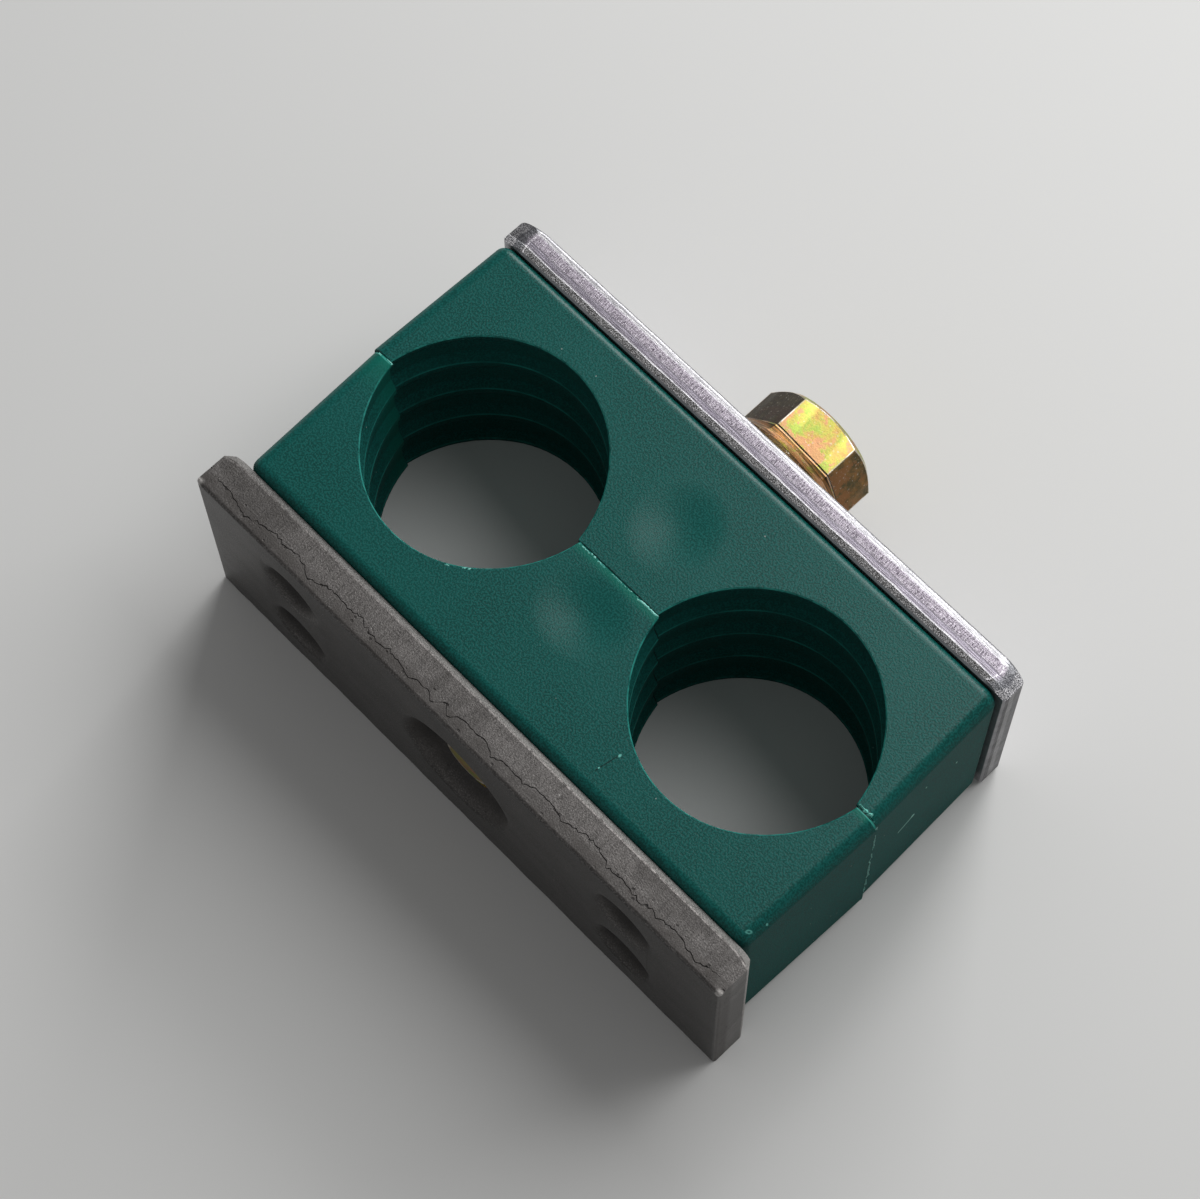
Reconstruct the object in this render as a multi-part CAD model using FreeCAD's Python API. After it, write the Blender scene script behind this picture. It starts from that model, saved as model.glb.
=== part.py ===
import FreeCAD, Part
import math
import os

# Twin tube clamp for two hydraulic lines, lying on its side as it rests on a bench.
# X runs along the clamp, Y along its bolt from the weld plate to the bolt head,
# and Z along the two tube bores. Millimetres; the origin is the bottom centre
# of the box around the whole clamp.

os.makedirs("parts", exist_ok=True)

# Tube bores
tube_diameter = 30.0       # outside diameter of the tubes that are gripped
bore_grip = 0.3            # how much smaller than the tube's radius the closed saddle is
saddle_half_angle = 35.0   # the saddle is round this far each side of its lowest point
bore_flare = 1.25          # how much further out the bore stands at the parting plane
rib_pitch = 7.5            # distance between rib crests along the bore
rib_count = 3              # ribs between the two end lands
rib_crest = 1.1            # width of a rib's crest
groove_depth = 0.7         # depth of the grooves between the ribs
groove_ramp = 1.7          # length of each sloping side of a groove
rim_bevel = 0.15           # bevel around the mouths of the bores

# Clamp halves
bore_web = 13.1            # plastic between the two bores at the parting plane
end_wall = 3.15            # plastic outside each bore at the parting plane
saddle_floor = 6.2         # plastic under the lowest point of a saddle
half_width = 30.0          # width of the halves along the bores
end_draft = 1.6            # draft of the moulded end faces, in degrees
end_round = 2.0            # rounding of the edges of the end faces
seat_round = 1.4           # rounding around the face that a plate covers
parting_bevel = 0.1        # bevel around the parting face
half_stagger = 0.3         # how far the lower half sits to the right of the upper one

# Bolt, a flanged hexagon screw
thread_diameter = 10.0
thread_pitch = 1.5
hex_across_flats = 15.0
head_turn = 9.8            # how far the tightened head has stopped past a corner, in degrees
head_height = 10.1         # from the flange's seat to the top of the head
head_chamfer = 30.0        # angle of the cone that trims the hexagon's corners
trim_inset = 0.45          # how far inside the hexagon's flats that cone meets the top
head_dish_diameter = 10.0
head_dish_depth = 0.6
flange_diameter = 21.6
flange_edge = 2.1          # thickness of the flange at its rim
flange_edge_bevel = 0.4
flange_slope = 40.0        # slope of the top of the flange, in degrees
tip_inset = 1.8            # how far the tip ends inside the weld plate's outer face
neck_round = 0.4           # fillet between the shank and the flange's seat

# Cover plate, stamped from sheet; the die rolls its outer face over, most of all at the ends
cover_thickness = 4.15
cover_overhang = 0.4       # how far the plate stands past the seat face at each end
cover_edge_roll = 0.56     # rounding of the edges of the outer face
cover_end_drop = 0.8       # how far the outer face falls away at each end
cover_end_length = 4.2     # over this length
cover_corner_length = 2.3  # how far along the plate each corner is crushed
cover_corner_drop = 0.7    # and how far down
cover_burr_bevel = 0.25

# Weld plate, stamped with a threaded boss and four locating nubs
weld_thickness = 5.85
weld_overhang = 2.3        # how far the plate stands past the seat face at each end
weld_bevel = 0.8           # bevel of the edges of the inner face, rolled over by the die
weld_end_drop = 0.5        # how far the inner face falls away at each end
weld_end_length = 2.4      # over this length
weld_burr_round = 0.5      # rounding of the edges of the outer face
boss_diameter = 15.0
boss_height = 6.5          # above the plate's inner face
boss_taper = 0.5           # how much the boss's radius shrinks towards its top
boss_root_round = 1.0
boss_mouth_bevel = 0.6
dish_diameter = 17.2       # mouth of the hollow that the drawn boss leaves outside
dish_depth = 3.0
dish_floor_diameter = 12.6
press_round = 0.5          # rounding of the floor of the hollow behind the boss, and its mouth's bevel
nub_spacing_x = 56.0
nub_spacing_z = 12.4
nub_diameter = 7.0
nub_height = 2.0
nub_top_bevel = 0.7
dimple_diameter = 8.4      # mouth of the hollow behind each nub
dimple_depth = 2.2
dimple_floor_diameter = 5.0

# Clearances
thread_clearance = 0.05    # radial, between the screw and the boss
bolt_hole_clearance = 0.35 # radial, around the shank in the halves
cover_hole_clearance = 0.5 # radial, around the shank in the cover plate
boss_clearance = 0.6       # around the boss in its pocket, and past its end
nub_clearance = 0.5        # around and past each nub in its pocket

# Sizes worked out from the ones above
saddle_radius = tube_diameter / 2 - bore_grip
bore_half_width = saddle_radius + bore_flare
bore_pitch = 2 * bore_half_width + bore_web
half_height = saddle_radius + saddle_floor
parting_length = bore_pitch + 2 * (bore_half_width + end_wall)
seat_length = parting_length - 2 * half_height * math.tan(math.radians(end_draft))
cover_length = seat_length + 2 * cover_overhang
weld_length = seat_length + 2 * weld_overhang
thread_radius = thread_diameter / 2
thread_depth = 0.6134 * thread_pitch
stack_height = weld_thickness + 2 * half_height + cover_thickness + head_height
weld_outer_y = -stack_height / 2
weld_inner_y = weld_outer_y + weld_thickness
parting_y = weld_inner_y + half_height
cover_inner_y = parting_y + half_height
cover_outer_y = cover_inner_y + cover_thickness
bolt_tip_y = weld_outer_y + tip_inset
bolt_z = half_width / 2
overcut = 2.0              # how far a cutting tool stands out of what it cuts
hair = 0.01                # what counts as the same place when edges are picked

UP = FreeCAD.Vector(0, 0, 1)
ALONG_BOLT = FreeCAD.Vector(0, 1, 0)


def vec(x, y, z):
    return FreeCAD.Vector(x, y, z)


def level_arc(centre, radius, start_angle, end_angle, z):
    """Arc in a plane of constant z, from one angle to another, in degrees."""
    angles = [start_angle, (start_angle + end_angle) / 2, end_angle]
    points = []
    for angle in angles:
        turn = math.radians(angle)
        points.append(vec(centre[0] + radius * math.cos(turn), centre[1] + radius * math.sin(turn), z))
    return Part.Arc(points[0], points[1], points[2]).toShape()


def bore_outline(centre_x, outset, z):
    """Closed outline of a bore: two round saddles joined by four flatter side arcs."""
    radius = saddle_radius + outset
    turn = math.radians(saddle_half_angle)
    spread = (bore_half_width ** 2 - saddle_radius ** 2) / (
        2 * (saddle_radius - bore_half_width * math.sin(turn)))
    side_radius = radius + spread
    lean = math.degrees(math.asin(spread * math.cos(turn) / side_radius))
    edges = []
    for half in (-1, 1):
        saddle_middle = 90.0 * half
        edges.append(level_arc((centre_x, 0), radius, saddle_middle - saddle_half_angle,
                                 saddle_middle + saddle_half_angle, z))
        for side in (-1, 1):
            middle = (centre_x - side * spread * math.sin(turn), -half * spread * math.cos(turn))
            low = half * lean
            high = half * (90.0 - saddle_half_angle)
            if side < 0:
                low = 180.0 - low
                high = 180.0 - high
            edges.append(level_arc(middle, side_radius, low, high, z))
    return Part.Wire(Part.__sortEdges__(edges))


def bore_tool(centre_x):
    """Solid that a bore removes: the straight crest wall and the grooves between the ribs."""
    start = bore_outline(centre_x, 0, -overcut)
    tool = Part.Face(start).extrude(UP * (half_width + 2 * overcut))
    for face_z, inward in ((0, 1), (half_width, -1)):
        mouth = [bore_outline(centre_x, 2 * rim_bevel, face_z - inward * rim_bevel),
                 bore_outline(centre_x, 0, face_z + inward * rim_bevel)]
        tool = tool.fuse(Part.makeLoft(mouth, True, True))
    first_rib = half_width / 2 - rib_pitch * (rib_count - 1) / 2
    for number in range(rib_count + 1):
        middle = first_rib + rib_pitch * (number - 0.5)
        low = middle - (rib_pitch - rib_crest) / 2
        high = middle + (rib_pitch - rib_crest) / 2
        ramp = min(groove_ramp, 0.45 * (high - low))
        steps = [(low, 0), (low + ramp, groove_depth), (high - ramp, groove_depth), (high, 0)]
        outlines = [bore_outline(centre_x, outset, z) for z, outset in steps]
        tool = tool.fuse(Part.makeLoft(outlines, True, True))
    return tool


def turned(corners, centre_x, base_y):
    """Solid turned about the bolt's direction.

    Each corner is a radius and a height above base_y, and a rounding where it has one.
    """
    places = [vec(centre_x + corner[0], base_y + corner[1], bolt_z) for corner in corners]
    edges = []
    starts = []
    ends = []
    for number, corner in enumerate(corners):
        place = places[number]
        start = end = place
        if len(corner) > 2:
            back = (places[number - 1] - place).normalize()
            onward = (places[(number + 1) % len(places)] - place).normalize()
            half_angle = back.getAngle(onward) / 2
            setback = corner[2] / math.tan(half_angle)
            bulge = corner[2] / math.sin(half_angle) - corner[2]
            start = place + back * setback
            end = place + onward * setback
            middle = place + (back + onward).normalize() * bulge
            edges.append(Part.Arc(start, middle, end).toShape())
        starts.append(start)
        ends.append(end)
    for number, start in enumerate(starts):
        edges.append(Part.makeLine(ends[number - 1], start))
    face = Part.Face(Part.Wire(Part.__sortEdges__(edges)))
    return face.revolve(vec(centre_x, base_y, bolt_z), ALONG_BOLT, 360)


def moved(shape, x=0.0, y=0.0, z=0.0):
    copy = shape.copy()
    copy.translate(vec(x, y, z))
    return copy


def nub_places():
    places = []
    for across in (-1, 1):
        for up in (-1, 1):
            places.append((across * nub_spacing_x / 2, up * nub_spacing_z / 2))
    return places


def edges_where(shape, test):
    return [edge for edge in shape.Edges if test(edge.BoundBox)]


def clamp_half():
    """One moulded half with its parting plane at y = 0 and its seat face at y = -half_height."""
    reach = half_height
    outline = Part.makePolygon([
        vec(-parting_length / 2, 0, 0),
        vec(-seat_length / 2, -reach, 0),
        vec(seat_length / 2, -reach, 0),
        vec(parting_length / 2, 0, 0),
        vec(-parting_length / 2, 0, 0)])
    body = Part.Face(outline).extrude(UP * half_width)
    end_edges = edges_where(body, lambda box: box.ZLength < hair and box.YLength > reach / 2)
    body = body.makeFillet(end_round, end_edges)
    seat_edges = edges_where(body, lambda box: box.YMax < -reach + hair)
    body = body.makeFillet(seat_round, seat_edges)
    parting_edges = edges_where(body, lambda box: box.YMin > -hair)
    body = body.makeChamfer(parting_bevel, parting_edges)

    for side in (-1, 1):
        body = body.cut(bore_tool(side * bore_pitch / 2))

    hole_radius = thread_radius + bolt_hole_clearance
    pocket_radius = boss_diameter / 2 + boss_clearance
    pocket_depth = boss_height + boss_clearance
    mouth_radius = pocket_radius + boss_root_round
    bolt_hole = turned([
        (0, -reach - overcut),
        (mouth_radius, -reach - overcut),
        (mouth_radius, -reach),
        (pocket_radius, -reach + boss_root_round),
        (pocket_radius, -reach + pocket_depth),
        (hole_radius, -reach + pocket_depth),
        (hole_radius, overcut),
        (0, overcut)], 0, 0)
    body = body.cut(bolt_hole)

    pocket = Part.makeCylinder(nub_diameter / 2 + nub_clearance, nub_height + nub_clearance + overcut,
                               vec(0, -reach - overcut, bolt_z), ALONG_BOLT)
    for x, z in nub_places():
        body = body.cut(moved(pocket, x, 0, z))
    return body


def stamped_blank(length, thickness, rolled_y, facing, end_drop, end_length):
    """Flat blank whose rolled face, the one at rolled_y, curves away at both ends."""
    radius = (end_length ** 2 + end_drop ** 2) / (2 * end_drop)
    lean = math.degrees(math.asin(end_length / radius))
    other_y = rolled_y - facing * thickness
    end_x = length / 2
    flat_x = end_x - end_length
    edges = [
        Part.makeLine(vec(-flat_x, rolled_y, 0), vec(flat_x, rolled_y, 0)),
        Part.makeLine(vec(-end_x, other_y, 0), vec(end_x, other_y, 0))]
    for side in (-1, 1):
        middle = (side * flat_x, rolled_y - facing * radius)
        edges.append(level_arc(middle, radius, 90 * facing, (90 - side * lean) * facing, 0))
        edges.append(Part.makeLine(vec(side * end_x, rolled_y - facing * end_drop, 0),
                                   vec(side * end_x, other_y, 0)))
    return Part.Face(Part.Wire(Part.__sortEdges__(edges))).extrude(UP * half_width)


def crushed_corners(length, corner_length, corner_drop):
    """Everything within a plate's outline along and up, with its four corners taken off."""
    corners = []
    for side, level in ((-1, -1), (1, -1), (1, 1), (-1, 1)):
        ends = [vec(side * length / 2, 0, bolt_z + level * (half_width / 2 - corner_drop)),
                vec(side * (length / 2 - corner_length), 0, bolt_z + level * half_width / 2)]
        corners += ends if side == level else ends[::-1]
    outline = Part.makePolygon(corners + corners[:1])
    return moved(Part.Face(outline).extrude(ALONG_BOLT * 2 * stack_height), 0, -stack_height)


def rolled_edges(blank, length, thickness, rolled_y, facing, end_drop):
    """Edges around the rolled face of a blank, without the seams where its ends begin to curve."""
    lowest = facing * rolled_y - end_drop - thickness / 4
    edges = edges_where(blank, lambda box: min(facing * box.YMin, facing * box.YMax) > lowest)
    outermost = length / 2 - hair
    return [edge for edge in edges if edge.BoundBox.ZLength < half_width / 2
            or max(edge.BoundBox.XMax, -edge.BoundBox.XMin) > outermost]


def edges_at(blank, y):
    return edges_where(blank, lambda box: abs(box.YMin - y) < hair and box.YLength < hair)


def pressed_hollow(mouth_diameter, floor_diameter, depth):
    """Profile of the hollow that a punch leaves, from outside the plate down to its floor's edge."""
    return [
        (0, -overcut),
        (mouth_diameter / 2 + press_round, -overcut),
        (mouth_diameter / 2 + press_round, 0),
        (mouth_diameter / 2, press_round / 2),
        (floor_diameter / 2, depth)]


def weld_plate():
    plate = stamped_blank(weld_length, weld_thickness, weld_inner_y, 1,
                          weld_end_drop, weld_end_length)
    plate = plate.makeChamfer(weld_bevel, rolled_edges(
        plate, weld_length, weld_thickness, weld_inner_y, 1, weld_end_drop))
    plate = plate.makeFillet(weld_burr_round, edges_at(plate, weld_outer_y))

    boss_radius = boss_diameter / 2
    boss = turned([
        (0, -weld_thickness / 2),
        (boss_radius + boss_root_round, -weld_thickness / 2),
        (boss_radius + boss_root_round, 0),
        (boss_radius, boss_root_round),
        (boss_radius - boss_taper, boss_height, boss_mouth_bevel),
        (0, boss_height)], 0, weld_inner_y)
    plate = plate.fuse(boss)

    bore_radius = thread_radius + thread_clearance
    through = weld_thickness + boss_height
    hollow = turned(pressed_hollow(dish_diameter, dish_floor_diameter, dish_depth) + [
        (bore_radius + boss_mouth_bevel, dish_depth),
        (bore_radius, dish_depth + boss_mouth_bevel),
        (bore_radius, through - boss_mouth_bevel),
        (bore_radius + boss_mouth_bevel, through),
        (bore_radius + boss_mouth_bevel, through + overcut),
        (0, through + overcut)], 0, weld_outer_y)
    plate = plate.cut(hollow)

    nub = turned([
        (0, -weld_thickness / 2),
        (nub_diameter / 2, -weld_thickness / 2),
        (nub_diameter / 2, nub_height - nub_top_bevel),
        (nub_diameter / 2 - nub_top_bevel, nub_height),
        (0, nub_height)], 0, weld_inner_y)
    dimple = turned(pressed_hollow(dimple_diameter, dimple_floor_diameter, dimple_depth) + [
        (0, dimple_depth)], 0, weld_outer_y)
    for x, z in nub_places():
        plate = plate.fuse(moved(nub, x, 0, z))
        plate = plate.cut(moved(dimple, x, 0, z))
    return plate


def cover_plate():
    plate = stamped_blank(cover_length, cover_thickness, cover_outer_y, 1,
                          cover_end_drop, cover_end_length)
    plate = plate.makeFillet(cover_edge_roll, rolled_edges(
        plate, cover_length, cover_thickness, cover_outer_y, 1, cover_end_drop))
    plate = plate.makeChamfer(cover_burr_bevel, edges_at(plate, cover_inner_y))
    plate = plate.common(crushed_corners(cover_length, cover_corner_length, cover_corner_drop))
    hole = Part.makeCylinder(thread_radius + cover_hole_clearance, cover_thickness + 2 * overcut,
                             vec(0, cover_inner_y - overcut, bolt_z), ALONG_BOLT)
    return plate.cut(hole)


def flange_bolt():
    """Screw with its seat on the cover plate's outer face and its tip in the weld plate's boss."""
    flat_radius = hex_across_flats / 2
    corner_radius = hex_across_flats / math.sqrt(3)
    hexagon_corners = []
    for number in range(7):
        turn = math.radians(60 * number + 30 + head_turn)
        hexagon_corners.append(vec(corner_radius * math.sin(turn), cover_outer_y + flange_edge,
                                   bolt_z + corner_radius * math.cos(turn)))
    hexagon = Part.Face(Part.makePolygon(hexagon_corners)).extrude(
        ALONG_BOLT * (head_height - flange_edge))
    trim_radius = flat_radius - trim_inset
    trim_reach = corner_radius + overcut
    trim_drop = (trim_reach - trim_radius) * math.tan(math.radians(head_chamfer))
    trim = turned([
        (0, 0),
        (trim_reach, 0),
        (trim_reach, head_height - trim_drop),
        (trim_radius, head_height),
        (0, head_height)], 0, cover_outer_y)
    hexagon = hexagon.common(trim)

    flange_radius = flange_diameter / 2
    rise = (flange_radius - flange_edge_bevel / 2 - trim_radius) * math.tan(math.radians(flange_slope))
    flange = turned([
        (0, 0),
        (flange_radius - flange_edge_bevel / 2, 0),
        (flange_radius, flange_edge_bevel),
        (flange_radius, flange_edge - flange_edge_bevel),
        (flange_radius - flange_edge_bevel / 2, flange_edge),
        (trim_radius, flange_edge + rise),
        (0, flange_edge + rise)], 0, cover_outer_y)
    head = hexagon.fuse(flange)
    dish_radius = head_dish_diameter / 2
    dish = turned([
        (0, head_height - head_dish_depth),
        (dish_radius - 2 * head_dish_depth, head_height - head_dish_depth),
        (dish_radius, head_height),
        (dish_radius, head_height + overcut),
        (0, head_height + overcut)], 0, cover_outer_y)
    head = head.cut(dish)

    shank_length = cover_outer_y - bolt_tip_y
    shank = turned([
        (0, 0),
        (thread_radius - thread_depth, 0),
        (thread_radius, thread_depth),
        (thread_radius, shank_length - neck_round),
        (thread_radius + neck_round, shank_length),
        (thread_radius + neck_round, shank_length + flange_edge / 2),
        (0, shank_length + flange_edge / 2)], 0, bolt_tip_y)
    return head.fuse(shank).removeSplitter()


half = clamp_half()
lower_half = moved(half, half_stagger / 2, parting_y)
upper_half = half.copy()
upper_half.rotate(vec(0, 0, 0), UP, 180)
upper_half = moved(upper_half, -half_stagger / 2, parting_y)

pieces = {
    "weld_plate": weld_plate(),
    "lower_clamp_half": lower_half,
    "upper_clamp_half": upper_half,
    "cover_plate": cover_plate(),
    "flange_bolt": flange_bolt(),
}
for name, shape in pieces.items():
    shape.exportStep("parts/" + name + ".step")
    box = shape.BoundBox
    print(name, "solids", len(shape.Solids), "valid", shape.isValid(), "volume", round(shape.Volume, 1),
          "x", round(box.XMin, 2), round(box.XMax, 2), "y", round(box.YMin, 2), round(box.YMax, 2),
          "z", round(box.ZMin, 2), round(box.ZMax, 2))
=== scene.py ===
import math

import bmesh
import bpy
from mathutils import Matrix, Vector, noise


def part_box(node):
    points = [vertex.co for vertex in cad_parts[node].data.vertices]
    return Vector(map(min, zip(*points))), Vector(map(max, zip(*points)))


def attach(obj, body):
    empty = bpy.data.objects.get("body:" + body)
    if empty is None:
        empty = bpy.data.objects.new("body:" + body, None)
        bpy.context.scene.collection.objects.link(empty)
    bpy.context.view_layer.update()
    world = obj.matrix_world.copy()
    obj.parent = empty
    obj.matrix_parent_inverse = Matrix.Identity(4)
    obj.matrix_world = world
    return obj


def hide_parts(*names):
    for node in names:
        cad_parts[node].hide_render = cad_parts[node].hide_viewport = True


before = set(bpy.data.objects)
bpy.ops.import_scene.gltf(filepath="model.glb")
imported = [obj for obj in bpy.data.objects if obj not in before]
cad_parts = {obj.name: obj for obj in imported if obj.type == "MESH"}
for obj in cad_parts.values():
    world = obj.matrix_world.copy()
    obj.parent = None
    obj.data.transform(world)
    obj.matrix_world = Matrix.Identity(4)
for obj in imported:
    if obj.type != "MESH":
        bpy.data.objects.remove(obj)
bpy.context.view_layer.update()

# Everything below is worked out in millimetres in the part's own frame, and made metres when a piece
# is finished: X along the clamp, Y along the bolt towards its head, Z up the tube bores.
MM = 0.001


def node_box(name):
    low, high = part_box(name)
    return Vector(low) / MM, Vector(high) / MM


weld_low, weld_high = node_box("weld_plate")
cover_low, cover_high = node_box("cover_plate")
lower_low, lower_high = node_box("lower_clamp_half")
bolt_low, bolt_high = node_box("flange_bolt")

weld_outer = weld_low.y
weld_inner = lower_low.y
boss_top = weld_high.y
parting = lower_high.y
cover_inner = cover_low.y
cover_outer = cover_high.y
bolt_tip = bolt_low.y
head_top = bolt_high.y
width = cover_high.z
bolt_z = width / 2

bore_pitch = 45.0
rib_pitch = 7.5
rib_count = 3
nub_spacing = (56.0, 12.4)

# Where a finish changes over a short way: from the middle of a bore to its rim and to its grooves,
# and from the middle of the weld plate's boss and of a nub to the rim of the hollow behind it
rim_reach = (16.2, 16.6)
groove_reach = (17.0, 17.4)
dish_reach = (8.4, 9.4)
dimple_reach = (3.9, 4.6)
bore_end = 38.6             # where both bores end along the clamp, and the parting face goes on

# The camera, as the photograph was taken. Its place is measured from the middle of the bores.
view_azimuth = 47.14
view_elevation = 68.33
view_roll = -1.368
camera_offset = Vector((106.64, -101.95, 394.67))
lens_mm = 102.35

# Floor and light
floor_colour = (0.70, 0.70, 0.69)
floor_bounce = (0.11, 0.11, 0.11)
floor_size = 4.0
main_place = (0.037, 0.285, 0.365)
main_size = 0.35
main_watts = 1.35
side_place = (-0.42, 1.00, 0.52)
side_size = 0.5
side_watts = 6.5
world_level = 0.24


# Finishes


class Value:
    """A number that varies over a surface. Sums, products and comparisons add their Math nodes."""

    def __init__(self, finish, socket):
        self.finish = finish
        self.socket = socket

    def math(self, operation, *operands):
        return self.finish.node("ShaderNodeMath", {"operation": operation}, dict(enumerate(operands)))

    def __add__(self, other):
        return self.math("ADD", self, other)

    def __radd__(self, other):
        return self.math("ADD", other, self)

    def __sub__(self, other):
        return self.math("SUBTRACT", self, other)

    def __rsub__(self, other):
        return self.math("SUBTRACT", other, self)

    def __mul__(self, other):
        return self.math("MULTIPLY", self, other)

    def __rmul__(self, other):
        return self.math("MULTIPLY", other, self)

    def __truediv__(self, other):
        return self.math("DIVIDE", self, other)

    def __pow__(self, other):
        return self.math("POWER", self, other)

    def size(self):
        return self.math("ABSOLUTE", self)

    def step(self, start, end, low=0.0, high=1.0):
        """low before start, high after end, and a smooth change between them."""
        return self.finish.node(
            "ShaderNodeMapRange", {"interpolation_type": "SMOOTHSTEP"},
            {"Value": self, "From Min": start, "From Max": end, "To Min": low, "To Max": high})

    def band(self, low, high, soft):
        """1 between low and high, 0 outside, over a soft edge."""
        return self.step(low - soft, low + soft) * (1 - self.step(high - soft, high + soft))


def together(values):
    """The sum of several values."""
    total, *others = values
    for value in others:
        total = total + value
    return total


class Finish:
    """A material that is being built on one Principled shader."""

    def __init__(self, name, roughness=0.5, metallic=0.0):
        self.material = bpy.data.materials.new(name)
        self.material.use_nodes = True
        self.tree = self.material.node_tree
        self.shader = self.tree.nodes["Principled BSDF"]
        self.shader.inputs["Roughness"].default_value = roughness
        self.shader.inputs["Metallic"].default_value = metallic

    def feed(self, socket, value):
        if isinstance(value, Value):
            self.tree.links.new(value.socket, socket)
        elif isinstance(value, (tuple, list, Vector)) and len(value) == 3 and socket.type == "RGBA":
            socket.default_value = (*value, 1.0)
        else:
            socket.default_value = value

    def node(self, kind, settings=None, sockets=None, output=0):
        made = self.tree.nodes.new(kind)
        for name, value in (settings or {}).items():
            if name == "stops":
                for number, (place, colour) in enumerate(value):
                    stops = made.color_ramp.elements
                    stop = stops[number] if number < 2 else stops.new(place)
                    stop.position = place
                    stop.color = (*colour, 1.0)
            else:
                setattr(made, name, value)
        for name, value in (sockets or {}).items():
            self.feed(made.inputs[name], value)
        return Value(self, made.outputs[output])

    def place(self, offset=(0, 0, 0), stretch=(1, 1, 1)):
        """Object coordinates in millimetres, measured from offset and stretched."""
        spot = self.node("ShaderNodeTexCoord", output="Object")
        spot = self.node("ShaderNodeVectorMath", {"operation": "SCALE"}, {0: spot, "Scale": 1 / MM})
        spot = self.node("ShaderNodeVectorMath", {"operation": "SUBTRACT"}, {0: spot, 1: offset})
        return self.node("ShaderNodeVectorMath", {"operation": "MULTIPLY"}, {0: spot, 1: stretch})

    def axes(self, place):
        return [self.node("ShaderNodeSeparateXYZ", None, {0: place}, output=axis) for axis in "XYZ"]

    def facing(self):
        """How far the surface looks along each axis, by its true normal."""
        normal = self.node("ShaderNodeNewGeometry", output="True Normal")
        return self.axes(normal)

    def noise(self, place, size, detail=2.0, roughness=0.5, distortion=0.0):
        """Soft noise from 0 to 1 whose blotches are about size millimetres across."""
        return self.node("ShaderNodeTexNoise", None, {
            "Vector": place, "Scale": 1 / size, "Detail": detail, "Roughness": roughness,
            "Distortion": distortion})

    def specks(self, place, spacing, radius, share):
        """Round specks in some of the cells of a grid with the given spacing."""
        settings = {"feature": "F1"}
        sockets = {"Vector": place, "Scale": 1 / spacing}
        distance = self.node("ShaderNodeTexVoronoi", settings, sockets, output="Distance")
        colour = self.node("ShaderNodeTexVoronoi", settings, sockets, output="Color")
        pick = self.node("ShaderNodeSeparateColor", None, {0: colour}, output="Red")
        near = 1 - distance.step(radius / spacing * 0.6, radius / spacing)
        return near * pick.step(1 - share - 0.01, 1 - share)

    def mix(self, factor, first, second):
        return self.node("ShaderNodeMix", {"data_type": "RGBA"}, {0: factor, 6: first, 7: second},
                         output=2)

    def over(self, colour, *layers):
        """Lays tints over a colour in their order, each where its mask is high."""
        for mask, tint in layers:
            colour = self.mix(mask, colour, tint)
        return colour

    def ramp(self, factor, *stops):
        return self.node("ShaderNodeValToRGB", {"stops": stops}, {0: factor}, output="Color")

    def bump(self, height, depth, strength=1.0, normal=None):
        """Relief of the given depth in millimetres where height runs from 0 to 1."""
        sockets = {"Height": height, "Distance": depth * MM, "Strength": strength}
        if normal is not None:
            sockets["Normal"] = normal
        return self.node("ShaderNodeBump", None, sockets)

    def use(self, **inputs):
        for name, value in inputs.items():
            self.feed(self.shader.inputs[name.replace("_", " ")], value)
        return self.material


def green_plastic():
    """Glass-filled moulded plastic: satin grain, faint flow clouds, sink marks over the thick middle."""
    finish = Finish("green_plastic")
    place = finish.place((0, parting, 0))
    spot = finish.axes(place)
    out, along_bolt, up = finish.facing()
    grain = finish.noise(place, 0.24, 1.0, 0.5)
    cloud = finish.noise(place, 9.0, 2.0, 0.5)
    mottle = finish.noise(place, 1.3, 3.0, 0.6)
    ragged = finish.noise(finish.place((0, 0, 0), (1, 0, 1)), 1.1, 4.0, 0.7)
    dust = finish.specks(place, 2.8, 0.12, 0.26)
    deep_green, flow_green, dark_green = (0.0, 0.055, 0.046), (0.0, 0.070, 0.059), (0.001, 0.050, 0.044)
    grain_green, dust_grey = (0.003, 0.100, 0.088), (0.35, 0.38, 0.36)
    colour = finish.over(
        finish.mix(cloud.step(0.3, 0.7), deep_green, flow_green),
        (mottle.step(0.35, 0.75, 0.0, 0.4), dark_green),
        (grain.step(0.42, 0.60), grain_green),
        (dust * 0.7, dust_grey))
    colour = bore_painted_highlights(finish, colour, place, spot, up)
    colour = seam_lines(finish, colour, spot, ragged, along_bolt)
    colour = top_bruises(finish, colour, spot, ragged, mottle)
    colour = end_marks(finish, colour, spot, ragged, mottle, out)
    normal = finish.bump(1 - sink_marks(spot, up), 0.42)
    normal = finish.bump(mottle, 0.008, normal=normal)
    normal = finish.bump(grain, 0.026, normal=normal)
    finish.shader.inputs["Specular IOR Level"].default_value = 0.25
    rough = grain.step(0.2, 0.8, 0.28, 0.38) + (1 - up.size().step(0.3, 0.9)) * 0.42
    return finish.use(Base_Color=colour, Roughness=rough, Normal=normal)


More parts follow.
